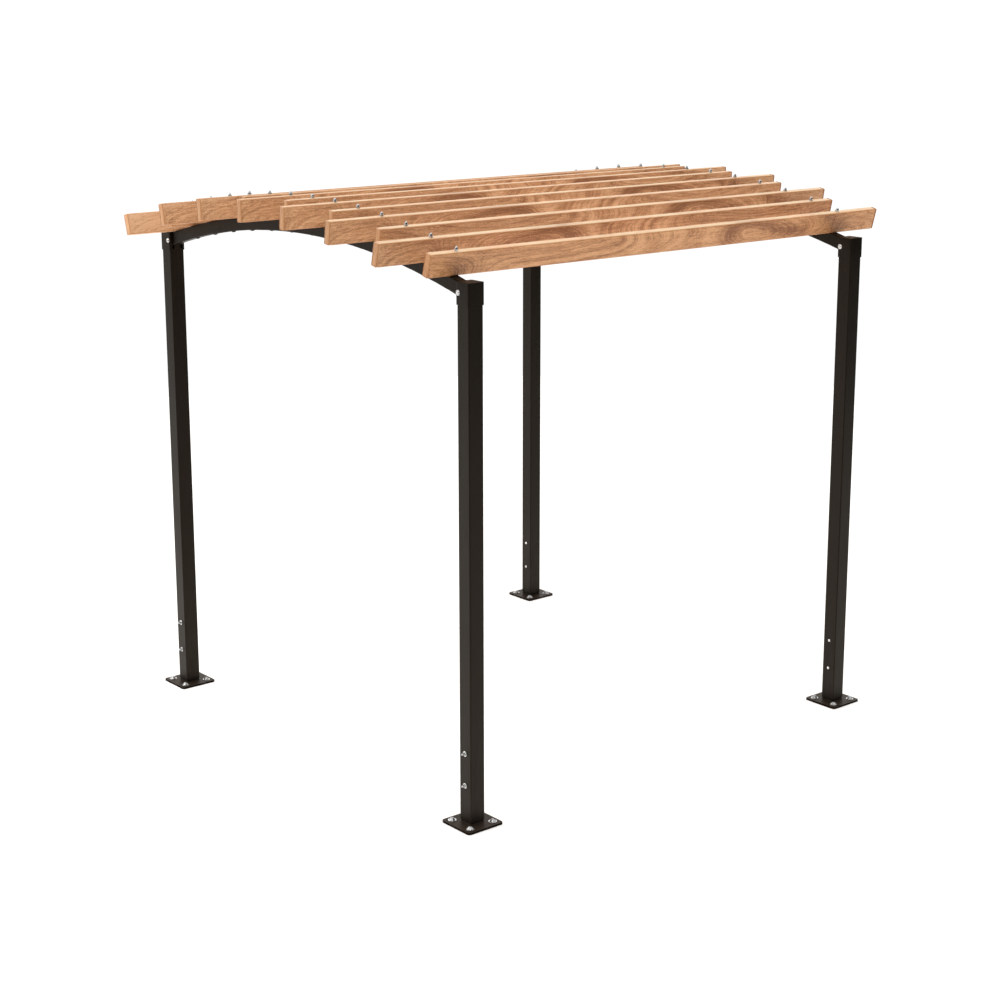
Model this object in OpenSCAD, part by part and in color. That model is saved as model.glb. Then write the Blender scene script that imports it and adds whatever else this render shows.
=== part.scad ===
// Free-standing pergola: four square steel posts on bolted foot plates,
// two curved steel roof beams, and fourteen wooden slats laid across them.
// Millimetres, +Z up. X runs along the slats, Y runs along the curved beams,
// and the origin is on the ground in the middle of the four posts.

/* [Posts] */
// Distance between post centres along the slats
post_span_x = 2454; // [2000:2:2700]
// Distance between post centres along the curved beams
post_span_y = 2452; // [2452:1:2456]
// Outer width of the square post tube
post_w = 80; // [74:1:90]
// Wall thickness of the post tube
post_wall = 3; // [2:0.5:5]
// Outer corner radius of the post tube
post_r = 6; // [4:0.5:9]
// Height of the lower foot bolt above the ground
foot_bolt_low_z = 190; // [120:1:250]
// Height of the upper foot bolt above the ground
foot_bolt_high_z = 342; // [280:1:380]
// Clearance hole for the post bolts
post_bolt_d = 12.5; // [10.5:0.5:14.5]

/* [Feet] */
// Side of the square foot plate
plate_w = 200; // [180:5:240]
// Thickness of the foot plate
plate_t = 10; // [6:1:15]
// Corner radius of the foot plate
plate_r = 14; // [5:1:25]
// Spacing of the four anchor holes
anchor_pitch = 130; // [120:2:150]
// Diameter of the anchor holes
anchor_d = 14; // [12:0.5:18]
// Top of the spigot tube that stands inside the post
spigot_top = 400; // [380:5:600]
// Gap between the spigot and the inside of the post
spigot_gap = 0.5; // [0.3:0.1:1.5]
// Height of the post's open end above the foot plate
foot_gap = 10; // [2:1:15]

/* [Post caps] */
// Thickness of the cap's skirt
cap_wall = 3.5; // [2:0.5:5]
// Underside of the cap skirt
cap_bottom = 2361; // [2330:1:2362]
// Top of the closed cap
cap_top = 2460; // [2460:1:2480]
// Thickness of the cap's top plate
cap_plate = 3; // [3:0.5:6]
// Gap between the cap skirt and the post
cap_gap = 0.3; // [0.2:0.1:0.6]
// Height of the cap bolt
cap_bolt_z = 2413.5; // [2405:0.5:2420]
// Distance of the cap bolt from the post centre, towards the beam
cap_bolt_in = 27; // [20:1:29]

/* [Curved beams] */
// Radius of the beam's upper surface
beam_r = 4443; // [4412:1:4460]
// Height of the beam's upper surface at mid span
beam_crown_z = 2617; // [2616:1:2619]
// Width of the beam
beam_w = 50; // [40:1:60]
// Depth of the beam, measured square to its curve
beam_d = 63; // [56:1:64]
// Wall thickness of the beam
beam_wall = 3; // [2:0.5:4]
// Outer corner radius of the beam section
beam_corner = 5; // [4.5:0.5:7]

/* [Slats] */
// Thickness of a slat, along the beam
slat_t = 38; // [30:1:45]
// Depth of a slat, square to the beam
slat_h = 107; // [90:1:120]
// Length of a slat
slat_l = 2897; // [2800:1:2950]
// Rounding of a slat's long edges
slat_r = 6; // [3:0.5:9]
// Every second slat is moved this far each way along its length
slat_shift = 70.5; // [0:0.5:90]
// Angle between neighbouring slats, seen from the beam's centre
slat_step = 2.27; // [2:0.01:2.28]
// Angle by which the row of slats is moved towards the back
slat_bias = 0.35; // [0:0.01:0.35]
// Bolt hole through a slat and the beam under it
slat_bolt_d = 10.5; // [6.5:0.5:12.5]

/* [Hidden] */
$fn = 96;
arc_fn = 1440;
slat_n = 14;
px = post_span_x / 2;
py = post_span_y / 2;
foot_bolt_z = [foot_bolt_low_z, foot_bolt_high_z];
cap_w = post_w + 2 * (cap_gap + cap_wall);
spigot_w = post_w - 2 * (post_wall + spigot_gap);
post_top = cap_top - cap_plate;
post_foot = plate_t + foot_gap;
beam_zc = beam_crown_z - beam_r;
beam_end = py - cap_w / 2;
beam_half = asin(min(1, (beam_end + 40) / (beam_r - beam_d)));
steel = [0.14, 0.13, 0.12];
wood = [0.76, 0.55, 0.36];
vent_w = 12;
vent_h = 21;
vent_z = cap_bottom + 8;
function slat_angle(k) = (k - (slat_n + 1) / 2) * slat_step + slat_bias;

// ---- shapes that repeat ----

// square with true round corners, centred
module round_square(w, d, r) {
  square([w - 2 * r, d], center = true);
  square([w, d - 2 * r], center = true);
  for (i = [-1, 1], j = [-1, 1])
    translate([i * (w / 2 - r), j * (d / 2 - r)]) circle(r = r, $fn = 64);
}

// upright square tube, open at both ends
module square_tube(w, wall, r, h) {
  difference() {
    linear_extrude(height = h) round_square(w, w, r);
    translate([0, 0, -1])
      linear_extrude(height = h + 2)
        round_square(w - 2 * wall, w - 2 * wall, max(r - wall, 1));
  }
}

// bolt hole along X, right through a tube
module cross_hole(d, y, z) {
  translate([-100, y, z]) rotate([0, 90, 0]) cylinder(d = d, h = 200);
}

// the two coating vents in the wall under the beam end, on the +Y side
module vents() {
  for (i = [-1, 1])
    translate([i * beam_w / 2 - vent_w / 2 - i, post_w / 2 - post_wall - 2, vent_z])
      cube([vent_w, 20, vent_h]);
}

// everything below is drawn for a corner whose beam leaves towards +Y,
// and turned by half a turn for the back posts
module at_corner(sx, sy) {
  translate([sx * px, sy * py, 0]) rotate([0, 0, sy < 0 ? 0 : 180]) children();
}

module foot_plate(sx, sy) {
  color(steel)
    at_corner(sx, sy)
      difference() {
        linear_extrude(height = plate_t) round_square(plate_w, plate_w, plate_r);
        for (i = [-1, 1], j = [-1, 1])
          translate([i * anchor_pitch / 2, j * anchor_pitch / 2, -1])
            cylinder(d = anchor_d, h = plate_t + 2);
      }
}

module spigot(sx, sy) {
  color(steel)
    at_corner(sx, sy)
      difference() {
        translate([0, 0, plate_t])
          square_tube(spigot_w, post_wall, post_r - post_wall + 1, spigot_top - plate_t);
        for (z = foot_bolt_z) cross_hole(post_bolt_d, 0, z);
      }
}

module post(sx, sy) {
  color(steel)
    at_corner(sx, sy)
      difference() {
        translate([0, 0, post_foot])
          square_tube(post_w, post_wall, post_r, post_top - post_foot);
        for (z = foot_bolt_z) cross_hole(post_bolt_d, 0, z);
        cross_hole(post_bolt_d, cap_bolt_in, cap_bolt_z);
        vents();
      }
}

module cap(sx, sy) {
  inner = post_w + 2 * cap_gap;
  color(steel)
    at_corner(sx, sy)
      difference() {
        translate([0, 0, cap_bottom])
          linear_extrude(height = cap_top - cap_bottom)
            round_square(cap_w, cap_w, post_r + 1.5);
        translate([0, 0, cap_bottom - 1])
          linear_extrude(height = cap_top - cap_plate - cap_bottom + 1)
            round_square(inner, inner, post_r);
        cross_hole(post_bolt_d, cap_bolt_in, cap_bolt_z);
        vents();
      }
}

// one curved box-section beam, cut square against the two caps
module beam(sx) {
  color(steel)
    translate([sx * px, 0, beam_zc])
      difference() {
        intersection() {
          rotate([90, 0, 90])
            rotate_extrude(start = 90 - beam_half, angle = 2 * beam_half, $fn = arc_fn)
              translate([beam_r - beam_d / 2, 0])
                difference() {
                  round_square(beam_d, beam_w, beam_corner);
                  round_square(beam_d - 2 * beam_wall, beam_w - 2 * beam_wall, beam_corner - beam_wall);
                }
          translate([-beam_w, -beam_end, beam_r - 600])
            cube([2 * beam_w, 2 * beam_end, 700]);
        }
        for (k = [1:slat_n])
          rotate([-slat_angle(k), 0, 0])
            translate([0, 0, beam_r - beam_d - 10])
              cylinder(d = slat_bolt_d, h = beam_d + 20);
      }
}

// slat number k, counted from the front
module slat(k) {
  side = k % 2 == 1 ? 1 : -1;
  color(wood)
    translate([0, 0, beam_zc])
      rotate([-slat_angle(k), 0, 0])
        translate([0, 0, beam_r + slat_h / 2])
          difference() {
            translate([side * slat_shift - slat_l / 2, 0, 0])
              rotate([90, 0, 90])
                linear_extrude(height = slat_l) round_square(slat_t, slat_h, slat_r);
            for (i = [-1, 1])
              translate([i * px, 0, -slat_h])
                cylinder(d = slat_bolt_d, h = 2 * slat_h);
          }
}

// ---- named pieces ----

module foot_plate_front_left() { foot_plate(-1, -1); }
module foot_plate_front_right() { foot_plate(1, -1); }
module foot_plate_back_left() { foot_plate(-1, 1); }
module foot_plate_back_right() { foot_plate(1, 1); }
module spigot_front_left() { spigot(-1, -1); }
module spigot_front_right() { spigot(1, -1); }
module spigot_back_left() { spigot(-1, 1); }
module spigot_back_right() { spigot(1, 1); }
module post_front_left() { post(-1, -1); }
module post_front_right() { post(1, -1); }
module post_back_left() { post(-1, 1); }
module post_back_right() { post(1, 1); }
module cap_front_left() { cap(-1, -1); }
module cap_front_right() { cap(1, -1); }
module cap_back_left() { cap(-1, 1); }
module cap_back_right() { cap(1, 1); }
module beam_left() { beam(-1); }
module beam_right() { beam(1); }
module slat_01() { slat(1); }
module slat_02() { slat(2); }
module slat_03() { slat(3); }
module slat_04() { slat(4); }
module slat_05() { slat(5); }
module slat_06() { slat(6); }
module slat_07() { slat(7); }
module slat_08() { slat(8); }
module slat_09() { slat(9); }
module slat_10() { slat(10); }
module slat_11() { slat(11); }
module slat_12() { slat(12); }
module slat_13() { slat(13); }
module slat_14() { slat(14); }

foot_plate_front_left();
foot_plate_front_right();
foot_plate_back_left();
foot_plate_back_right();
spigot_front_left();
spigot_front_right();
spigot_back_left();
spigot_back_right();
post_front_left();
post_front_right();
post_back_left();
post_back_right();
cap_front_left();
cap_front_right();
cap_back_left();
cap_back_right();
beam_left();
beam_right();
slat_01();
slat_02();
slat_03();
slat_04();
slat_05();
slat_06();
slat_07();
slat_08();
slat_09();
slat_10();
slat_11();
slat_12();
slat_13();
slat_14();
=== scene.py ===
import math

import bmesh
import bpy
import numpy as np
from mathutils import Matrix, Vector


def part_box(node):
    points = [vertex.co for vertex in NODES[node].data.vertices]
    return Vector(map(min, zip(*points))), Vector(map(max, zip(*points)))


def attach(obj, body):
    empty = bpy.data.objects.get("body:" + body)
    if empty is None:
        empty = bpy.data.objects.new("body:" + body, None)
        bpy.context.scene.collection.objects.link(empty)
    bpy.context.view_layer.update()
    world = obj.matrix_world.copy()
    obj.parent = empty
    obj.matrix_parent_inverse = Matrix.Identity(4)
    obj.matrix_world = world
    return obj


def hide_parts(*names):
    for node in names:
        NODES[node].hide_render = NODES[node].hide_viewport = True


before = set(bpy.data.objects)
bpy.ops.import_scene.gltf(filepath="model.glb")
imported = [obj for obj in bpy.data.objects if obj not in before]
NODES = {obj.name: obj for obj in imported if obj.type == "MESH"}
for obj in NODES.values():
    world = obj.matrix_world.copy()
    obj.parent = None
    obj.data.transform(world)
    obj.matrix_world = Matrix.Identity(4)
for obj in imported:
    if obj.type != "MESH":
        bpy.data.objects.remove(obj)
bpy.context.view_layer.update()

SC = bpy.context.scene
MM = 0.001
CORNERS = [(sx, sy) for sy in ("front", "back") for sx in ("left", "right")]


def rad(a):
    return math.radians(a)


# ---------------------------------------------------------------- camera
cam_data = bpy.data.cameras.new("camera")
cam = bpy.data.objects.new("camera", cam_data)
SC.collection.objects.link(cam)
SC.camera = cam
cam_data.sensor_width = 36.0
cam_data.lens = 69.84
cam_data.shift_x = -0.00776
cam_data.shift_y = -0.05127
cam_data.clip_end = 200.0
cam.location = (-6.3454, -7.5781, 3.6183)
cam.rotation_euler = (rad(90 - 13.009), 0.0, -rad(39.983))

# ---------------------------------------------------------------- light
SC.view_settings.view_transform = "Standard"
SC.view_settings.look = "None"
SC.view_settings.exposure = 0.0
SC.view_settings.gamma = 1.0

world = bpy.data.worlds.new("studio")
SC.world = world
world.use_nodes = True
wt = world.node_tree
wt.nodes.clear()


def wnode(kind, **kw):
    n = wt.nodes.new(kind)
    for k, v in kw.items():
        setattr(n, k, v)
    return n


def studio_light():
    """A soft studio: a bright ceiling, bright walls behind to the left and right, and a dim room otherwise. The camera itself sees plain white."""
    out = wnode("ShaderNodeOutputWorld")
    tc = wnode("ShaderNodeTexCoord")
    base = (0.030, 0.030, 0.030)
    total = None
    # direction, where its light begins and is full, colour
    lamps = [
        ((0.0, 0.0, 1.0), 0.12, 0.75, (1.14, 1.13, 1.12)),
        ((-0.62, 0.70, 0.16), 0.40, 0.98, (0.72, 0.705, 0.69)),
        ((0.60, 0.65, 0.35), 0.30, 0.95, (0.98, 0.975, 0.965)),
        ((-0.95, -0.15, 0.30), 0.50, 0.98, (0.12, 0.12, 0.12)),
    ]
    for d, lo, hi, col in lamps:
        v = Vector(d).normalized()
        dot = wnode("ShaderNodeVectorMath", operation="DOT_PRODUCT")
        wt.links.new(tc.outputs["Generated"], dot.inputs[0])
        dot.inputs[1].default_value = v
        mr = wnode("ShaderNodeMapRange", interpolation_type="SMOOTHSTEP")
        mr.inputs["From Min"].default_value = lo
        mr.inputs["From Max"].default_value = hi
        wt.links.new(dot.outputs["Value"], mr.inputs["Value"])
        sc = wnode("ShaderNodeVectorMath", operation="SCALE")
        sc.inputs[0].default_value = col
        wt.links.new(mr.outputs["Result"], sc.inputs["Scale"])
        add = wnode("ShaderNodeVectorMath", operation="ADD")
        if total is None:
            add.inputs[0].default_value = base
        else:
            wt.links.new(total, add.inputs[0])
        wt.links.new(sc.outputs["Vector"], add.inputs[1])
        total = add.outputs["Vector"]
    lit = wnode("ShaderNodeBackground")
    wt.links.new(total, lit.inputs["Color"])
    lit.inputs["Strength"].default_value = 1.0
    plain = wnode("ShaderNodeBackground")
    plain.inputs["Color"].default_value = (1, 1, 1, 1)
    plain.inputs["Strength"].default_value = 1.05
    lp = wnode("ShaderNodeLightPath")
    mix = wnode("ShaderNodeMixShader")
    wt.links.new(lp.outputs["Is Camera Ray"], mix.inputs["Fac"])
    wt.links.new(lit.outputs["Background"], mix.inputs[1])
    wt.links.new(plain.outputs["Background"], mix.inputs[2])
    wt.links.new(mix.outputs["Shader"], out.inputs["Surface"])


studio_light()


def area_light(name, loc, target, size, power, colour=(1, 1, 1)):
    d = bpy.data.lights.new(name, "AREA")
    d.shape = "DISK"
    d.size = size
    d.energy = power
    d.color = colour
    o = bpy.data.objects.new(name, d)
    SC.collection.objects.link(o)
    o.location = loc
    o.rotation_euler = (Vector(target) - Vector(loc)).to_track_quat("-Z", "Y").to_euler()
    o.visible_camera = False
    return o


area_light("key", (-4.5, -4.5, 9.5), (0, 0, 1.5), 5.0, 120)
area_light("fill", (5.0, -8.0, 7.0), (0, 0, 1.5), 5.0, 80)
area_light("pool", (-3.6, 2.8, 3.6), (-3.6, 2.8, 0), 4.0, 90)

# ---------------------------------------------------------------- node helpers


class Mat:
    """A material and its node tree, with short names for the nodes used here."""

    def __init__(self, name):
        self.m = bpy.data.materials.new(name)
        self.m.use_nodes = True
        self.t = self.m.node_tree
        self.t.nodes.clear()
        self.out = self.t.nodes.new("ShaderNodeOutputMaterial")
        self.p = self.t.nodes.new("ShaderNodeBsdfPrincipled")
        self.t.links.new(self.p.outputs[0], self.out.inputs[0])
        self.tc = self.t.nodes.new("ShaderNodeTexCoord")

    def put(self, v, sock):
        if isinstance(v, bpy.types.NodeSocket):
            self.t.links.new(v, sock)
        elif v is not None:
            sock.default_value = v

    def attr(self, name):
        n = self.t.nodes.new("ShaderNodeAttribute")
        n.attribute_name = name
        return n.outputs["Fac"]

    def mapped(self, vec=None, scale=(1, 1, 1), loc=(0, 0, 0), rot=(0, 0, 0)):
        n = self.t.nodes.new("ShaderNodeMapping")
        self.t.links.new(vec or self.tc.outputs["Object"], n.inputs["Vector"])
        n.inputs["Scale"].default_value = scale
        n.inputs["Location"].default_value = loc
        n.inputs["Rotation"].default_value = rot
        return n.outputs["Vector"]

    def noise(self, vec, scale=1.0, detail=4.0, rough=0.5, distort=0.0, out="Fac"):
        n = self.t.nodes.new("ShaderNodeTexNoise")
        self.t.links.new(vec, n.inputs["Vector"])
        n.inputs["Scale"].default_value = scale
        n.inputs["Detail"].default_value = detail
        n.inputs["Roughness"].default_value = rough
        n.inputs["Distortion"].default_value = distort
        return n.outputs[out]

    def noise1(self, w, scale=1.0, detail=0.0, rough=0.5):
        """Noise along one number."""
        n = self.t.nodes.new("ShaderNodeTexNoise")
        n.noise_dimensions = "1D"
        self.t.links.new(w, n.inputs["W"])
        n.inputs["Scale"].default_value = scale
        n.inputs["Detail"].default_value = detail
        n.inputs["Roughness"].default_value = rough
        return n.outputs["Fac"]

    def voronoi(self, vec, scale=1.0, feature="F1", out="Distance"):
        n = self.t.nodes.new("ShaderNodeTexVoronoi")
        n.feature = feature
        self.t.links.new(vec, n.inputs["Vector"])
        n.inputs["Scale"].default_value = scale
        return n.outputs[out]

    def math(self, op, a, b=None, c=None, clamp=False):
        n = self.t.nodes.new("ShaderNodeMath")
        n.operation = op
        n.use_clamp = clamp
        self.put(a, n.inputs[0])
        if b is not None:
            self.put(b, n.inputs[1])
        if c is not None:
            self.put(c, n.inputs[2])
        return n.outputs[0]

    def ramp(self, fac, stops, interp="LINEAR"):
        n = self.t.nodes.new("ShaderNodeValToRGB")
        n.color_ramp.interpolation = interp
        e = n.color_ramp.elements
        while len(e) < len(stops):
            e.new(0.5)
        for i, (pos, col) in enumerate(stops):
            e[i].position = pos
            c = col if not isinstance(col, (int, float)) else (col, col, col)
            e[i].color = (*c, 1)
        self.put(fac, n.inputs[0])
        return n.outputs["Color"]

    def remap(self, v, lo, hi, to_lo=0.0, to_hi=1.0, smooth=False):
        n = self.t.nodes.new("ShaderNodeMapRange")
        if smooth:
            n.interpolation_type = "SMOOTHSTEP"
        n.inputs["From Min"].default_value = lo
        n.inputs["From Max"].default_value = hi
        n.inputs["To Min"].default_value = to_lo
        n.inputs["To Max"].default_value = to_hi
        self.put(v, n.inputs["Value"])
        return n.outputs["Result"]

    def mix(self, fac, a, b, blend="MIX"):
        n = self.t.nodes.new("ShaderNodeMix")
        n.data_type = "RGBA"
        n.blend_type = blend
        n.clamp_factor = True
        self.put(fac, n.inputs["Factor"])
        for v, s in ((a, n.inputs[6]), (b, n.inputs[7])):
            if isinstance(v, tuple) and len(v) == 3:
                v = (*v, 1)
            self.put(v, s)
        return n.outputs[2]

    def bump(self, height, strength, distance, normal=None):
        n = self.t.nodes.new("ShaderNodeBump")
        n.inputs["Strength"].default_value = strength
        n.inputs["Distance"].default_value = distance
        self.t.links.new(height, n.inputs["Height"])
        if normal is not None:
            self.t.links.new(normal, n.inputs["Normal"])
        return n.outputs["Normal"]

    def set(self, **kw):
        for k, v in kw.items():
            s = self.p.inputs[k.replace("_", " ")]
            if isinstance(v, tuple) and len(v) == 3 and len(s.default_value) == 4:
                v = (*v, 1)
            self.put(v, s)


# ---------------------------------------------------------------- materials


def coated_steel(name, ior, tint=(1.0, 0.80, 0.62), gloss=(0.38, 0.48), top=None, dust=(0.0, 0.0, 0.0)):
    """Dark brown-black powder coat: a very fine orange-peel skin, slight unevenness in its gloss, and a little dust low
    down. Given the height of a flat upper face as top, everything below it is painted darker and rougher: painted shade
    on the side faces.
    """
    m = Mat(name)
    obj = m.tc.outputs["Object"]
    peel = m.noise(m.mapped(scale=(420, 420, 420)), 1.0, 2.0, 0.5)
    grain = m.noise(m.mapped(scale=(1500, 1500, 1500)), 1.0, 1.0, 0.5)
    cloud = m.noise(m.mapped(scale=(2.2, 2.2, 1.1)), 1.0, 4.0, 0.55)
    smear = m.noise(m.mapped(scale=(26, 26, 5)), 1.0, 5.0, 0.62)
    fleck = m.voronoi(m.mapped(scale=(130, 130, 130)), 1.0)
    specks = m.remap(fleck, 0.02, 0.07, 1.0, 0.0, smooth=True)
    tone = m.math("ADD", m.math("MULTIPLY", cloud, 0.55), m.math("MULTIPLY", smear, 0.45))
    base = m.ramp(
        tone,
        [
            (0.30, (0.0026, 0.0017, 0.0007)),
            (0.50, (0.0032, 0.0021, 0.0010)),
            (0.72, (0.0043, 0.0030, 0.0017)),
        ],
    )
    # dust, strongest near the ground
    sep = m.t.nodes.new("ShaderNodeSeparateXYZ")
    m.t.links.new(obj, sep.inputs[0])
    low = m.remap(sep.outputs["Z"], 0.0, 0.9, 0.45, 0.0, smooth=True)
    dusty = m.math("MULTIPLY", low, m.remap(smear, 0.35, 0.75), clamp=True)
    base = m.mix(dusty, base, (0.024, 0.021, 0.018))
    base = m.mix(m.math("MULTIPLY", specks, 0.10), base, (0.06, 0.055, 0.05))
    rough = m.math("ADD", m.remap(cloud, 0.3, 0.7, *gloss), m.remap(smear, 0.3, 0.7, -0.02, 0.05))
    if top is not None:
        # painted shade: the faces below the flat top are darkened and roughened so they stay dark beside the bright
        # floor
        below = m.remap(sep.outputs["Z"], top - 0.0012, top - 0.0003, 1.0, 0.0)
        base = m.mix(m.remap(smear, 0.2, 0.8, 0.6, 1.0), base, dust)
        base = m.mix(below, base, (0.0010, 0.0006, 0.0003))
        rough = m.math("ADD", rough, m.math("MULTIPLY", below, 0.38), clamp=True)
    n1 = m.bump(peel, 0.22, 0.0006)
    n2 = m.bump(grain, 0.10, 0.0002, n1)
    m.set(Base_Color=base, Roughness=rough, Normal=n2)
    m.p.inputs["IOR"].default_value = ior
    m.p.inputs["Specular IOR Level"].default_value = 0.5
    m.p.inputs["Specular Tint"].default_value = (*tint, 1)
    return m.m


def zinc(name, shades, dull_at, gloss=(0.15, 0.24)):
    """Zinc-plated steel: faint cloudy spangle, fine turning marks and a few dull spots."""
    m = Mat(name)
    cloud = m.noise(m.mapped(scale=(160, 160, 160)), 1.0, 3.0, 0.6)
    fine = m.noise(m.mapped(scale=(900, 900, 900)), 1.0, 3.0, 0.6)
    spang = m.voronoi(m.mapped(scale=(420, 420, 420)), 1.0, out="Color")
    tone = m.math("ADD", m.math("MULTIPLY", cloud, 0.6), m.math("MULTIPLY", spang, 0.25))
    base = m.ramp(tone, [(p, c) for p, c in zip((0.15, 0.45, 0.8), shades)])
    dull = m.remap(fine, 0.62, 0.78, 0.0, 0.5, smooth=True)
    base = m.mix(dull, base, dull_at)
    rough = m.math("ADD", m.remap(cloud, 0.3, 0.7, *gloss), m.math("MULTIPLY", dull, 0.2))
    m.set(Base_Color=base, Roughness=rough, Normal=m.bump(fine, 0.12, 0.0002))
    m.p.inputs["Metallic"].default_value = 1.0
    return m.m


def hardwood():
    """Oiled hardwood. The mesh carries the figure of each board: 'rings' counts growth rings, 'tone' is how dark the
    heartwood is there, with painted shade added, 'edge' is 1 on the rounded edges, 'top' is 1 on the upper side, 'cut'
    is 1 on the sawn ends and 'warm' is how red the board is. The nodes draw the ring lines, fibres and pores, and paint
    a highlight on the upper side and shade on the edges.
    """
    m = Mat("oiled_hardwood")
    obj = m.tc.outputs["Object"]
    # every board is a node of its own with its own place, so world-fixed patterns differ from board to board
    warp = m.noise(m.mapped(scale=(9, 60, 60)), 1.0, 3.0, 0.55)
    warp2 = m.noise(m.mapped(scale=(55, 210, 210)), 1.0, 2.0, 0.5)
    rings = m.math("ADD", m.attr("rings"), m.math("MULTIPLY", warp, 1.3))
    rings = m.math("ADD", rings, m.math("MULTIPLY", warp2, 0.35))
    fr = m.math("FRACT", rings)
    # early wood light, then darkening to a late-wood line that ends sharply
    line = m.ramp(fr, [(0.0, 0.45), (0.10, 0.05), (0.45, 0.12), (0.84, 0.70), (0.94, 1.0), (1.0, 0.45)])
    # good and bad years: groups of rings paler and darker, some lines strong and some faint
    band = m.noise1(rings, 0.42, 1.0, 0.6)
    line_amt = m.remap(m.noise1(m.math("ADD", rings, 77.0), 0.9, 0.0), 0.32, 0.72, 0.10, 1.0)
    fibre = m.noise(m.mapped(scale=(30, 400, 400)), 1.0, 5.0, 0.62)
    # short dark strokes that follow the rings round
    split = m.t.nodes.new("ShaderNodeSeparateXYZ")
    m.t.links.new(obj, split.inputs[0])
    flow = m.t.nodes.new("ShaderNodeCombineXYZ")
    m.t.links.new(m.math("MULTIPLY", split.outputs["X"], 30.0), flow.inputs[0])
    m.t.links.new(m.math("MULTIPLY", rings, 3.6), flow.inputs[1])
    m.t.links.new(m.math("MULTIPLY", split.outputs["Y"], 9.0), flow.inputs[2])
    stroke = m.noise(flow.outputs[0], 1.0, 3.0, 0.66)
    streak = m.noise(m.mapped(scale=(8.0, 165, 165)), 1.0, 4.0, 0.6)
    fleck = m.noise(m.mapped(scale=(135, 380, 380)), 1.0, 2.0, 0.6)
    pore_n = m.noise(m.mapped(scale=(95, 1250, 1250)), 1.0, 2.0, 0.5)
    pores = m.remap(pore_n, 0.615, 0.70, 0.0, 1.0, smooth=True)
    mottle = m.noise(m.mapped(scale=(22, 40, 40)), 1.0, 3.0, 0.5)

    t = m.math("ADD", m.attr("tone"), -0.04)
    drawn = m.math("MULTIPLY", m.math("ADD", line, -0.35), line_amt)
    t = m.math("ADD", t, m.math("MULTIPLY", drawn, 0.35))
    t = m.math("ADD", t, m.remap(band, 0.25, 0.75, -0.24, 0.24))
    t = m.math("ADD", t, m.remap(streak, 0.2, 0.8, -0.34, 0.34))
    t = m.math("ADD", t, m.remap(stroke, 0.2, 0.8, -0.32, 0.32))
    t = m.math("ADD", t, m.remap(fibre, 0.2, 0.8, -0.27, 0.27))
    t = m.math("ADD", t, m.remap(fleck, 0.2, 0.8, -0.38, 0.38))
    t = m.math("ADD", t, m.remap(mottle, 0.25, 0.75, -0.07, 0.07))
    base = m.ramp(
        t,
        [
            (0.00, (0.780, 0.475, 0.270)),
            (0.25, (0.668, 0.380, 0.203)),
            (0.45, (0.568, 0.301, 0.151)),
            (0.65, (0.452, 0.228, 0.112)),
            (0.85, (0.361, 0.170, 0.081)),
            (1.00, (0.279, 0.123, 0.057)),
        ],
    )
    base = m.mix(m.math("MULTIPLY", pores, 0.30), base, (0.20, 0.085, 0.042))
    # painted light: the front board is tinted redder in place of the different light on its open face; the boards
    # behind are redder by small random amounts
    base = m.mix(m.attr("warm"), base, (1.07, 0.955, 0.84), "MULTIPLY")
    # painted highlight: the upper side is painted paler and whiter in long, uneven patches, where the top catches the
    # light
    top_highlight = m.noise(m.mapped(scale=(5.5, 30, 2)), 1.0, 3.0, 0.6)
    top_highlight = m.math("MULTIPLY", m.attr("top"), m.remap(top_highlight, 0.34, 0.66, 0.30, 0.95, smooth=True))
    base = m.mix(top_highlight, base, (0.640, 0.460, 0.258))
    # painted shade on the rounded edges, which turn away from the light; weaker on the upper edges, which catch it
    rim = m.math("MULTIPLY", m.attr("edge"), m.math("SUBTRACT", 0.85, m.math("MULTIPLY", m.attr("top"), 0.5)))
    base = m.mix(rim, base, (0.520, 0.215, 0.072))
    base = m.mix(m.math("MULTIPLY", m.attr("cut"), 0.5), base, (0.470, 0.240, 0.112))
    rough = m.math(
        "ADD", m.remap(fibre, 0.2, 0.8, 0.34, 0.48), m.remap(mottle, 0.2, 0.8, -0.04, 0.05)
    )
    h = m.math("SUBTRACT", m.math("MULTIPLY", fibre, 0.5), m.math("MULTIPLY", pores, 0.8))
    h = m.math("SUBTRACT", h, m.math("MULTIPLY", line, 0.16))
    n1 = m.bump(h, 0.35, 0.0006)
    m.set(Base_Color=base, Roughness=rough, Normal=n1)
    m.p.inputs["IOR"].default_value = 1.39
    return m.m


COAT = coated_steel("dark_powder_coat", 1.30)
# the foot plates: dust on the top face and painted shade on the side faces
FOOT_COAT = coated_steel(
    "dark_powder_coat_dusty_shaded_sides", 1.225, (1.0, 0.66, 0.40), (0.40, 0.50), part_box("foot_plate_front_left")[1].z, (0.023, 0.015, 0.0105)
)
ZINC = zinc(
    "bright_zinc", ((0.66, 0.66, 0.65), (0.79, 0.79, 0.775), (0.90, 0.895, 0.88)), (0.56, 0.56, 0.55)
)
NUT_ZINC = zinc(
    "grey_zinc", ((0.33, 0.34, 0.34), (0.45, 0.46, 0.46), (0.58, 0.59, 0.585)), (0.32, 0.325, 0.32)
)
WOOD = hardwood()

# a darker zinc for the anchor caps, so they come out dim
CAP_ZINC = zinc(
    "dark_zinc", ((0.23, 0.232, 0.235), (0.31, 0.312, 0.315), (0.42, 0.42, 0.42)), (0.22, 0.22, 0.22), (0.16, 0.26)
)

for n, o in NODES.items():
    if not n.startswith("slat"):
        coat = FOOT_COAT if n.startswith("foot_plate") else COAT
        for s in o.material_slots:
            s.material = coat
        if not o.material_slots:
            o.data.materials.append(coat)

# ---------------------------------------------------------------- mesh helpers


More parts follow.
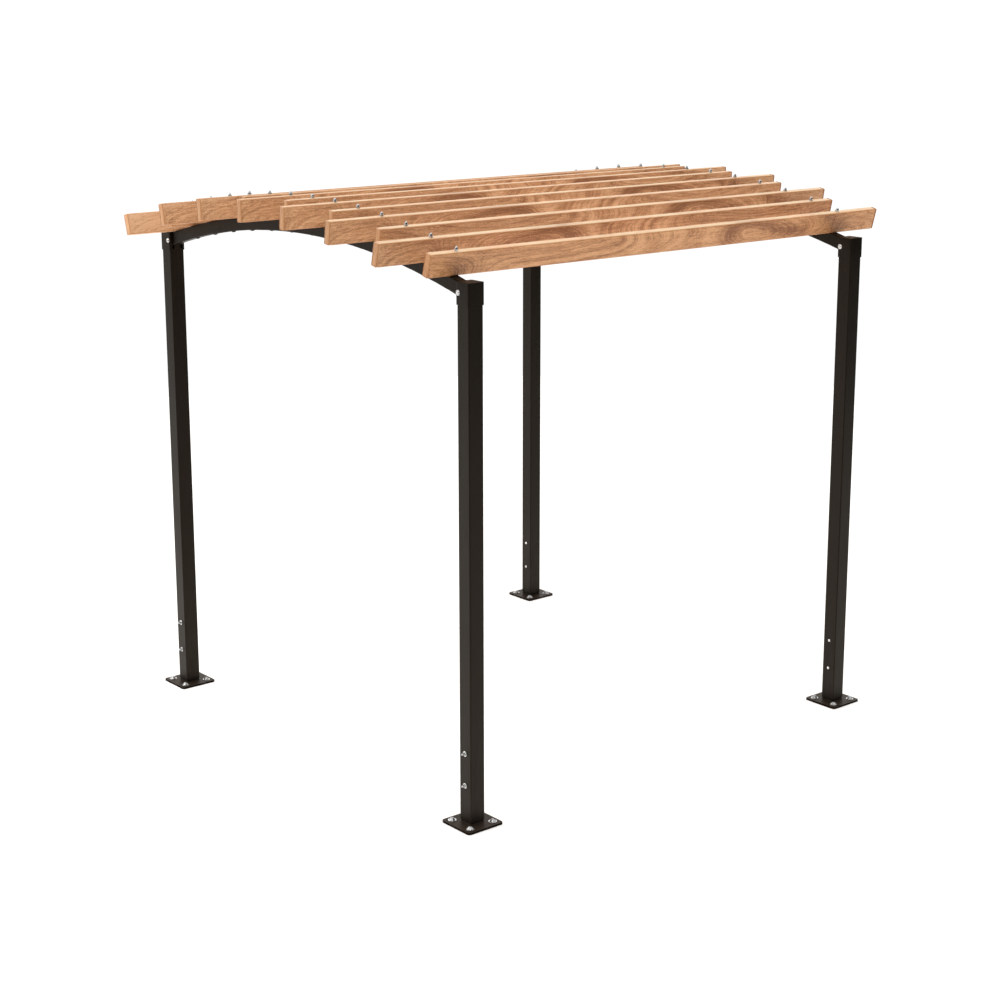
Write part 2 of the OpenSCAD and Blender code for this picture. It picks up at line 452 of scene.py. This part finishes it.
class Soup:
    """Collects vertices and faces, then makes one mesh object of them."""

    def __init__(self):
        self.v, self.f, self.n = [], [], 0

    def add(self, verts, faces, place=None):
        verts = np.asarray(verts, float)
        if place is not None:
            p = np.array(place)
            verts = verts @ p[:3, :3].T + p[:3, 3]
        self.v.append(verts)
        self.f += [[i + self.n for i in f] for f in faces]
        self.n += len(verts)

    def make(self, name, material, slot, angle=32):
        me = bpy.data.meshes.new(name)
        v = np.concatenate(self.v)
        me.from_pydata(v.tolist(), [], self.f)
        me.validate()
        me.materials.append(material)
        o = bpy.data.objects.new(name, me)
        SC.collection.objects.link(o)
        smooth_by_angle(o, angle)
        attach(o, "root")
        return o


def smooth_by_angle(o, angle):
    me = o.data
    me.polygons.foreach_set("use_smooth", np.ones(len(me.polygons), bool))
    me.set_sharp_from_angle(angle=rad(angle))
    me.update()


def lathe(profile, n=48, hexes=(), af=0.0, sides=6, dish=None):
    """Turns (r, z) rows about Z. A row index in hexes has its radius limited to a hexagon of width af. The first and last rows sit on the axis or close with a fan."""
    th = np.arange(n) * 2 * math.pi / n
    half = math.pi / sides
    hexr = (af / 2) / np.cos((th + half) % (2 * half) - half) if af else None
    verts, faces = [], []
    for i, (r, z) in enumerate(profile):
        rr = np.minimum(np.full(n, r), hexr) if i in hexes else np.full(n, r)
        verts.append(np.stack([rr * np.cos(th), rr * np.sin(th), np.full(n, z)], 1))
    for i in range(len(profile) - 1):
        a, b = i * n, (i + 1) * n
        for j in range(n):
            k = (j + 1) % n
            faces.append([a + j, a + k, b + k, b + j])
    v = np.concatenate(verts)
    m = len(v)
    v = np.concatenate([v, [[0, 0, profile[0][1]], [0, 0, profile[-1][1]]]])
    last = (len(profile) - 1) * n
    for j in range(n):
        k = (j + 1) % n
        faces.append([m, k, j])
        faces.append([m + 1, last + j, last + k])
    return v, faces


def cap_nut(af=17, high=19, hexh=7.0, dome=14.4, chamfer=1.3):
    """A cap nut standing on z=0: a hexagon with a tapering dome over it."""
    corner = af / 2 / math.cos(math.pi / 6)
    rows = [(af / 2 - 0.7, 0.0), (af / 2 - 0.1, 0.05), (corner + 0.01, chamfer * 0.75)]
    rows += [(corner + 0.01, hexh - chamfer), (af / 2 + 0.05, hexh - chamfer * 0.35), (dome / 2 + 0.25, hexh)]
    for a in np.linspace(2, 86, 14):
        rows.append((dome / 2 * math.cos(rad(a)) ** 0.9, hexh + 0.2 + (high - hexh - 0.2) * math.sin(rad(a))))
    rows.append((0.2, high))
    return lathe([(r * MM, z * MM) for r, z in rows], 60, {0, 1, 2, 3, 4}, af * MM)


def washer(od=20, hole=8, t=2.0, dish=0.0):
    """A flat ring standing on z=0, its edges just broken."""
    c = 0.25
    rows = [
        (hole / 2, 0), (od / 2 - c, 0), (od / 2, c), (od / 2, t - c), (od / 2 - c, t),
        (hole / 2 + c, t + dish), (hole / 2, t + dish - c),
    ]
    n = 64
    th = np.arange(n) * 2 * math.pi / n
    v = np.concatenate(
        [np.stack([r * MM * np.cos(th), r * MM * np.sin(th), np.full(n, z * MM)], 1) for r, z in rows]
    )
    f = []
    for i in range(len(rows)):
        a, b = i * n, ((i + 1) % len(rows)) * n
        for j in range(n):
            k = (j + 1) % n
            f.append([a + j, a + k, b + k, b + j])
    return v, f


def bell_cap(d=29, high=12.4, rim=1.2):
    """A smooth cap over an anchor bolt, standing on z=0: a flared rim that swells to a round top."""
    rows = [(d / 2 - 0.4, 0.0), (d / 2, 0.3), (d / 2, rim - 0.3), (d / 2 - 0.4, rim)]
    for t in np.linspace(0.06, 1.0, 16):
        rise = 0.5 - 0.5 * math.cos(t * math.pi)
        rows.append(((d / 2 - 0.4) * (1 - t) ** 0.82 + 0.2, rim + (high - rim) * (0.45 * rise + 0.55 * math.sin(t * math.pi / 2))))
    return lathe([(r * MM, z * MM) for r, z in rows], 64)


def button_head(d=18, high=5.2, socket=6.0, deep=2.6, rim=0.8):
    """A low domed screw head with a hexagon socket, standing on z=0."""
    rows = [(d / 2 - 0.3, 0.0), (d / 2, 0.3), (d / 2, rim)]
    flat = socket / 2 / math.cos(math.pi / 6) + 1.1
    r0, r1 = d / 2, flat
    for t in np.linspace(0.12, 1.0, 9):
        a = t * math.pi / 2
        rows.append((r1 + (r0 - r1) * math.cos(a), rim + (high - rim) * math.sin(a)))
    corner = socket / 2 / math.cos(math.pi / 6)
    base = len(rows)
    rows += [(corner + 0.45, high), (corner, high - 0.35), (corner, high - deep), (0.2, high - deep - 0.5)]
    hexes = {base + 1, base + 2}
    return lathe([(r * MM, z * MM) for r, z in rows], 60, hexes, socket * MM)


def dome_head(d=20, high=5.5, rim=1.0):
    """A plain mushroom head standing on z=0."""
    rows = [(d / 2 - 0.4, 0.0), (d / 2, 0.35), (d / 2, rim)]
    for t in np.linspace(0.1, 0.97, 10):
        a = t * math.pi / 2
        rows.append((d / 2 * math.cos(a), rim + (high - rim) * math.sin(a)))
    return lathe([(r * MM, z * MM) for r, z in rows], 56)


def place(at, axis, spin=0.0):
    """A matrix that stands a part on the point at, with its Z along axis."""
    q = Vector(axis).normalized().to_track_quat("Z", "X")
    return Matrix.Translation(at) @ q.to_matrix().to_4x4() @ Matrix.Rotation(spin, 4, "Z")


# ---------------------------------------------------------------- slats
SLATS = sorted(n for n in NODES if n.startswith("slat_"))
SLAT_T, SLAT_H, SLAT_R, END_R = 0.038, 0.107, 0.006, 0.0045
STEP, BIAS = rad(2.27), rad(0.35)


def slat_tilt(k):
    """How far slat k, counted from the front, leans back, in radians."""
    return (k - (len(SLATS) + 1) / 2) * STEP + BIAS


def slat_frame(k):
    """(centre, length, along, across, up) of slat k."""
    lo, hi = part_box(SLATS[k - 1])
    a = slat_tilt(k)
    return (
        (lo + hi) / 2,
        hi.x - lo.x,
        Vector((1, 0, 0)),
        Vector((0, math.cos(a), -math.sin(a))),
        Vector((0, math.sin(a), math.cos(a))),
    )


def smooth_noise(rng, x, y, z, sizes):
    """Seeded smooth noise in -1..1 over points, as a sum of a few random plane waves."""
    out = np.zeros_like(x)
    n = 14
    for _ in range(n):
        d = rng.normal(size=3)
        ph = rng.uniform(0, 2 * math.pi)
        out += np.sin(x / sizes[0] * d[0] + y / sizes[1] * d[1] + z / sizes[2] * d[2] + ph)
    return out / math.sqrt(n / 2) / 1.6


def bell(u, h, u0, h0, left, right, tall):
    s = np.where(u < u0, left, right)
    return np.exp(-0.5 * (((u - u0) / s) ** 2 + ((h - h0) / tall) ** 2))


def along_path(u, h, path, squeeze):
    """Distance in mm from a line of points, with u counted less than h by squeeze."""
    best = np.full_like(u, 1e9)
    for (a0, b0), (a1, b1) in zip(path[:-1], path[1:]):
        ax, bx = a0 / squeeze, a1 / squeeze
        dx, dy = bx - ax, b1 - b0
        px, py = u / squeeze - ax, h - b0
        t = np.clip((px * dx + py * dy) / (dx * dx + dy * dy), 0, 1)
        best = np.minimum(best, np.hypot(px - t * dx, py - t * dy))
    return best


def mesa(u, h, u0, h0, left, right, high, p):
    """Like a bell but flat inside: p above 2 makes the top flatter and the sides steeper."""
    w = np.where(u < u0, left, right)
    return np.exp(-0.5 * (((u - u0) / w) ** 2 + ((h - h0) / high) ** 2) ** (p / 2))


def figure(k, x, y, z):
    """Rings and tone of slat k at points in the board's own millimetres: x along from its middle, y across, z up from its underside. The boards come from one flitch, every second one turned end for end, so their figure is alike but never the same."""
    rng = np.random.default_rng(4100 + k)
    side = 1.0 if k % 2 else -1.0
    u = side * x + 70.5 + rng.uniform(-14, 14)
    v = side * y
    h = z + 0.35 * v + rng.uniform(-3, 3)
    u = u + 14 * smooth_noise(rng, x, y, z, (170, 60, 60)) + 0.5 * v
    h = h + 4 * smooth_noise(rng, x, y, z, (120, 40, 40))
    j = rng.uniform(0.88, 1.14, 8)
    # growth rings, at 1 mm steps of r from line to line
    r = 0.06 * h + 0.21 * v
    r += 24 * j[0] * bell(u, h, -1400, -8, 150, 215, 66)         # arches at the left end
    r += 15 * j[1] * bell(u, h, -760, 135, 230, 280, 62)         # a smile hanging from the top
    # the blunt ends of long nested loops that start beyond the left end
    out = np.sqrt((np.maximum(u + 620, 0) / 700) ** 2 + ((h - 48) / 135) ** 2)
    t = np.clip((1.40 - out) / 0.92, 0, 1)
    r += 36 * j[2] * t * t * (3 - 2 * t) * 0.5 + 18 * j[2] * t
    r += 25 * j[3] * mesa(u, h, 600, 30, 205, 330, 66, 3.0)      # the island
    r += 21 * j[4] * bell(u, h, 1290, -8, 66, 230, 60)           # arches at the right end
    r += 0.8 * smooth_noise(rng, x, y, z, (260, 30, 45))
    # heartwood: a dark tongue that rises, loops over a pale island and runs out to the right
    tongue = [(432, -12), (424, 40), (446, 78), (500, 100), (610, 96), (700, 74), (850, 42), (960, 28)]
    d = along_path(u, h, tongue, 2.1)
    fade = np.clip((1110 - u) / 250, 0, 1) ** 0.5
    tone = 0.44 + 0.44 * j[6] * np.exp(-0.5 * (d / 18) ** 2) * (1 - 0.45 * bell(u, h, 440, 0, 60, 60, 22)) * fade
    tone += 0.10 * bell(u, h, 880, 20, 90, 120, 14)
    tone += 0.12 * bell(u, h, 398, 58, 50, 46, 44) + 0.10 * bell(u, h, 470, 98, 60, 90, 26)
    tone -= 0.10 * bell(u, h, 580, 34, 60, 100, 20)
    # pale and dark bands across the board, bowed like the rings they follow
    bow = ((h - 48) / 60) ** 2
    tone -= 0.27 * np.exp(-0.5 * ((u + 148 + 66 * bow) / 27) ** 2)
    tone += 0.05 * np.exp(-0.5 * ((u + 78 + 60 * bow) / 22) ** 2)
    tone -= 0.18 * np.exp(-0.5 * ((u - 34 + 44 * bow) / 30) ** 2)
    tone -= 0.13 * np.exp(-0.5 * ((u - 104 + 44 * bow) / 20) ** 2)
    tone += 0.07 * np.exp(-0.5 * ((u - 200 + 20 * bow) / 38) ** 2)
    tone -= 0.24 * np.exp(-0.5 * ((u - 284 - 16 * bow) / 26) ** 2)
    tone -= 0.07 * np.exp(-0.5 * ((u - 344 - 22 * bow) / 20) ** 2)
    # paler under the top edge, a little browner below it
    tone -= 0.19 * bell(u, h, -740, 112, 150, 190, 18)
    tone += 0.05 * bell(u, h, -640, 62, 260, 240, 18)
    tone += 0.07 * bell(u, h, -430, 100, 60, 70, 24)
    # slanting flames beside the two beams
    a = (u + 1010) + 3.4 * (h - 45)
    tone -= 0.13 * np.exp(-0.5 * (a / 70) ** 2)
    a = (u + 1120) + 3.4 * (h - 95)
    tone += 0.16 * np.exp(-0.5 * (a / 62) ** 2) * np.clip(h / 60, 0, 1)
    a = (u - 1110) + 2.0 * (h - 80)
    tone += 0.19 * np.exp(-0.5 * (a / 50) ** 2) * np.clip(h / 60, 0, 1)
    tone -= 0.09 * bell(u, h, 890, 96, 70, 60, 14)
    tone -= 0.07 * bell(u, h, 1075, 30, 40, 40, 40)
    tone -= 0.06 * bell(u, h, 1420, 50, 90, 200, 90)
    # painted shade where the boards sit on the beams: darker low on the face just above each beam
    tone += 0.30 * bell(u, h, -1232, 8, 44, 40, 34) + 0.12 * bell(u, h, -1240, 60, 40, 40, 22)
    tone += 0.40 * bell(u, h, 1216, 8, 40, 36, 34) + 0.10 * bell(u, h, 1190, 64, 40, 40, 20)
    tone += 0.045 * smooth_noise(rng, x, y, z, (210, 55, 60))
    # painted shade: the boards behind the front one are a little darker, shaded by the board in front; each board also
    # gets a small random offset
    tone += rng.uniform(-0.02, 0.02) + (0.05 if k > 1 else -0.01)
    if k == len(SLATS):
        tone = 0.13 + 0.35 * (tone - 0.44)  # the last board is sapwood: paler and plainer than the rest
    return r, tone


def round_rect(t, h, r, n_t, n_h, n_c):
    """Points round a rounded rectangle from the middle of its +y side, counter-clockwise seen from +x, with an edge flag that is 1 on the rounded corners."""
    a, b = t / 2 - r, h / 2 - r
    pts, edge = [], []
    corners = [(a, b, 0), (-a, b, 90), (-a, -b, 180), (a, -b, 270)]
    for i, (cy, cz, a0) in enumerate(corners):
        for q in range(n_c + 1):
            th = rad(a0 + 90 * q / n_c)
            pts.append((cy + r * math.cos(th), cz + r * math.sin(th)))
            edge.append(math.sin(math.pi * q / n_c))
        ny, nz, _ = corners[(i + 1) % 4]
        th = rad(a0 + 90)
        s = (cy + r * math.cos(th), cz + r * math.sin(th))
        e = (ny + r * math.cos(th), nz + r * math.sin(th))
        m = n_t if i % 2 == 0 else n_h
        for q in range(1, m):
            f = q / m
            pts.append((s[0] + (e[0] - s[0]) * f, s[1] + (e[1] - s[1]) * f))
            edge.append(0.0)
    return np.array(pts), np.array(edge)


def slat_piece(k):
    name = SLATS[k - 1]
    centre, length, ex, ey, ez = slat_frame(k)
    n_t, n_h, n_c = 4, 12, 4
    half = length / 2
    rows = []  # x, inset, end flag
    for d in (SLAT_T / 2 - 0.0006, 0.0135, 0.0085):
        rows.append((-half, d, 1.0))
    for q in range(5):
        th = q / 4 * math.pi / 2
        rows.append((-half + END_R * (1 - math.sin(th)), END_R * (1 - math.cos(th)), 1.0 - q / 4))
    n_x = 236
    for q in range(1, n_x):
        rows.append((-half + END_R + (length - 2 * END_R) * q / n_x, 0.0, 0.0))
    rows += [(-x, d, e) for x, d, e in rows[7::-1]]
    verts, edge, cut = [], [], []
    for x, d, e in rows:
        p, ed = round_rect(SLAT_T - 2 * d, SLAT_H - 2 * d, max(SLAT_R - d, 0.0005), n_t, n_h, n_c)
        verts.append(np.column_stack([np.full(len(p), x), p]))
        edge.append(np.maximum(ed, math.sin(math.pi * e) if e < 1 else 0) if d <= END_R else np.zeros(len(p)))
        cut.append(np.full(len(p), e))
    n = len(verts[0])
    v = np.concatenate(verts)
    edge, cut = np.concatenate(edge), np.concatenate(cut)
    faces = []
    for i in range(len(rows) - 1):
        a, b = i * n, (i + 1) * n
        for j in range(n):
            q = (j + 1) % n
            faces.append([a + j, a + q, b + q, b + j])
    last = (len(rows) - 1) * n
    faces.append(list(range(n))[::-1])
    faces.append([last + j for j in range(n)])

    # a sawn and planed board is never quite true
    rng = np.random.default_rng(900 + k)
    x = v[:, 0]
    bow = 0.0006 * np.sin(x / half * 2.2 + rng.uniform(0, 6)) + 0.0003 * np.sin(x / half * 7 + rng.uniform(0, 6))
    bow = bow * np.clip(1 - (np.abs(x) / half) ** 2, 0, 1)
    r, tone = figure(k, v[:, 0] * 1000, v[:, 1] * 1000, (v[:, 2] + SLAT_H / 2) * 1000)
    v2 = v.copy()
    v2[:, 1] += bow
    m = np.array([ex, ey, ez]).T
    w = v2 @ m.T + np.array(centre)

    me = bpy.data.meshes.new(name + "_board")
    me.from_pydata(w.tolist(), [], faces)
    me.validate()
    top = np.clip((v[:, 2] - SLAT_H / 2 + 0.0030) / 0.0028, 0, 1)
    # painted light: the front board gets the full red tint for the light on its open face, the others small random
    # amounts
    warm = np.full(len(v), 1.0 if k == 1 else rng.uniform(0.0, 0.22))
    for label, val in (("rings", r), ("tone", tone), ("edge", edge), ("cut", cut), ("top", top), ("warm", warm)):
        a = me.attributes.new(label, "FLOAT", "POINT")
        a.data.foreach_set("value", val.astype(np.float32))
    me.materials.append(WOOD)
    o = bpy.data.objects.new(name + "_board", me)
    SC.collection.objects.link(o)
    smooth_by_angle(o, 40)
    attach(o, "root")
    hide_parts(name)
    return o


for k in range(1, len(SLATS) + 1):
    slat_piece(k)

# ---------------------------------------------------------------- steel details


def weld_bead(tag, cx, cy, half, z, corner=0.004, leg=0.0044):
    """The rippled fillet weld round the foot of the spigot inside a post."""
    rng = np.random.default_rng(sum(ord(c) for c in tag))
    flat, bend = 2 * (half - corner), corner * math.pi / 2
    total = 4 * (flat + bend)
    n, m = 560, 7
    s = np.arange(n) / n * total
    q, d = np.floor_divide(s, flat + bend), np.mod(s, flat + bend)
    a = np.clip((d - flat) / corner, 0, math.pi / 2)
    run = np.minimum(d, flat) - flat / 2
    # the first side is the +x one, run along +y
    nx, ny = np.cos(a), np.sin(a)
    px, py = half - corner + corner * nx, np.where(d < flat, run, flat / 2 + corner * ny)
    ang = q * math.pi / 2
    c, sn = np.cos(ang), np.sin(ang)
    px, py, nx, ny = c * px - sn * py, sn * px + c * py, c * nx - sn * ny, sn * nx + c * ny
    wander = 0.5 * np.sin(s / total * 2 * math.pi * 3 + rng.uniform(0, 6)) + 0.5 * np.sin(s / total * 2 * math.pi * 8 + rng.uniform(0, 6))
    size = leg * (0.94 + 0.05 * wander + 0.10 * np.abs(np.sin(math.pi * s / 0.0036)))
    verts = []
    for i in range(m):
        t = i / (m - 1) * math.pi / 2
        o, up = size * math.cos(t) ** 0.85 - 0.0002, size * math.sin(t) ** 0.85 - 0.0002
        verts.append(np.stack([cx + px + nx * o, cy + py + ny * o, z + up], 1))
    verts.append(np.stack([cx + px - nx * 0.0003, cy + py - ny * 0.0003, np.full(n, z - 0.0003)], 1))
    faces = []
    for i in range(m + 1):
        a0, b0 = i * n, ((i + 1) % (m + 1)) * n
        for j in range(n):
            k = (j + 1) % n
            faces.append([a0 + j, a0 + k, b0 + k, b0 + j])
    w = Soup()
    w.add(np.concatenate(verts), faces)
    w.make(f"weld_{tag}", COAT, "steel", 60)


def soften_cap(name):
    """The pressed cap with the edge round its top rolled over instead of sharp."""
    src = NODES[name]
    bm = bmesh.new()
    bm.from_mesh(src.data)
    bm.transform(src.matrix_world)
    bmesh.ops.remove_doubles(bm, verts=bm.verts, dist=2e-6)
    top = max(v.co.z for v in bm.verts)
    bm.normal_update()
    rim = [
        e for e in bm.edges
        if all(abs(v.co.z - top) < 1e-5 for v in e.verts)
        and len(e.link_faces) == 2
        and min(abs(f.normal.z) for f in e.link_faces) < 0.5
    ]
    bmesh.ops.bevel(bm, geom=rim, offset=0.0024, segments=4, profile=0.5, affect="EDGES", clamp_overlap=True)
    me = bpy.data.meshes.new(name + "_rolled")
    bm.to_mesh(me)
    bm.free()
    me.materials.append(COAT)
    o = bpy.data.objects.new(name + "_rolled", me)
    SC.collection.objects.link(o)
    smooth_by_angle(o, 35)
    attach(o, "root")
    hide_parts(name)


for sx, sy in CORNERS:
    soften_cap(f"cap_{sy}_{sx}")

# ---------------------------------------------------------------- fasteners
BEAM_D = 0.063
nuts, nut_washers, under_heads = {}, {}, {}
for side in ("left", "right"):
    nuts[side], nut_washers[side], under_heads[side] = Soup(), Soup(), Soup()
slat_nut, plain_washer, mushroom = cap_nut(), washer(20, 9, 2.0), dome_head(21, 5.5)
rng = np.random.default_rng(77)
for k in range(1, len(SLATS) + 1):
    centre, length, ex, ey, ez = slat_frame(k)
    for side in ("left", "right"):
        lo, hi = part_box("beam_" + side)
        at = Vector(((lo.x + hi.x) / 2, centre.y, centre.z))
        top = at + ez * (SLAT_H / 2 - 0.0002)
        nut_washers[side].add(*plain_washer, place(top, ez))
        nuts[side].add(*slat_nut, place(top + ez * 0.0019, ez, rng.uniform(0, 6.28)))
        under = at - ez * (SLAT_H / 2 + BEAM_D)
        under_heads[side].add(*mushroom, place(under, -ez))
for side in ("left", "right"):
    nuts[side].make(f"slat_nuts_{side}", NUT_ZINC, "fastener")
    nut_washers[side].make(f"slat_nut_washers_{side}", ZINC, "fastener")
    under_heads[side].make(f"beam_bolt_heads_{side}", COAT, "fastener")

CAP_BOLT_Z, CAP_BOLT_IN, FOOT_BOLT_Z, ANCHOR = 2.4135, 0.027, (0.190, 0.342), 0.065
cap_washer, cap_head = washer(25, 9, 2.0), button_head(15, 5.0, 6.0)
small_washer, small_head, small_nut = washer(24, 11, 2.3), dome_head(15, 5.2, 0.9), cap_nut(15.5, 19, 7.5, 12.8)
anchor_washer, anchor_head = washer(38, 14, 2.6), bell_cap(31, 12.0)
for sx, sy in CORNERS:
    tag = f"{sy}_{sx}"
    plo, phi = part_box("post_" + tag)
    clo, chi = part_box("cap_" + tag)
    cx, cy = (plo.x + phi.x) / 2, (plo.y + phi.y) / 2
    inward = 1 if sy == "front" else -1
    out = -1 if sx == "left" else 1
    s_w, s_h = Soup(), Soup()
    for d, face in ((-1, clo.x), (1, chi.x)):
        at = Vector((face, cy + inward * CAP_BOLT_IN, CAP_BOLT_Z))
        s_w.add(*cap_washer, place(at, (d, 0, 0)))
        s_h.add(*cap_head, place(at + Vector((d * 0.0019, 0, 0)), (d, 0, 0), rng.uniform(0, 6)))
    s_w.make(f"cap_washers_{tag}", ZINC, "fastener")
    s_h.make(f"cap_bolts_{tag}", ZINC, "fastener")
    s_w, s_h, s_n = Soup(), Soup(), Soup()
    for z in FOOT_BOLT_Z:
        outer = phi.x if out > 0 else plo.x
        inner = plo.x if out > 0 else phi.x
        at = Vector((outer, cy, z))
        s_w.add(*small_washer, place(at, (out, 0, 0)))
        s_n.add(*small_nut, place(at + Vector((out * 0.0022, 0, 0)), (out, 0, 0), rng.uniform(0, 6)))
        s_h.add(*small_head, place(Vector((inner, cy, z)), (-out, 0, 0), rng.uniform(0, 6)))
    s_w.make(f"post_washers_{tag}", ZINC, "fastener")
    s_n.make(f"post_nuts_{tag}", NUT_ZINC, "fastener")
    s_h.make(f"post_bolt_heads_{tag}", ZINC, "fastener")
    flo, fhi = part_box("foot_plate_" + tag)
    s_w, s_h = Soup(), Soup()
    for i in (-1, 1):
        for j in (-1, 1):
            at = Vector((cx + i * ANCHOR, cy + j * ANCHOR, fhi.z))
            s_w.add(*anchor_washer, place(at, (0, 0, 1)))
            s_h.add(*anchor_head, place(at + Vector((0, 0, 0.0026)), (0, 0, 1), rng.uniform(0, 6)))
    s_w.make(f"anchor_washers_{tag}", ZINC, "fastener")
    s_h.make(f"anchor_caps_{tag}", CAP_ZINC, "fastener")
    slo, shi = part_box("spigot_" + tag)
    weld_bead(tag, cx, cy, (shi.x - slo.x) / 2, fhi.z)

# ---------------------------------------------------------------- floor


def floor():
    rings, n, radius = 12, 72, 9.0
    v, f = [(0.0, 0.0, 0.0)], []
    for i in range(1, rings + 1):
        for j in range(n):
            a = 2 * math.pi * j / n
            v.append((radius * i / rings * math.cos(a), radius * i / rings * math.sin(a), 0.0))
    for j in range(n):
        f.append([0, 1 + j, 1 + (j + 1) % n])
        for i in range(rings - 1):
            p, q = 1 + i * n, 1 + (i + 1) * n
            f.append([p + j, q + j, q + (j + 1) % n, p + (j + 1) % n])
    me = bpy.data.meshes.new("floor")
    me.from_pydata(v, [], f)
    o = bpy.data.objects.new("floor", me)
    SC.collection.objects.link(o)
    o.location.z = -0.0002
    m = Mat("pale_floor")
    soft = m.noise(m.mapped(scale=(0.8, 0.8, 0.8)), 1.0, 2.0, 0.5)
    m.set(Base_Color=m.ramp(soft, [(0.3, (0.935, 0.922, 0.905)), (0.7, (0.955, 0.943, 0.927))]), Roughness=0.9)
    m.p.inputs["Specular IOR Level"].default_value = 0.0
    me.materials.append(m.m)


floor()
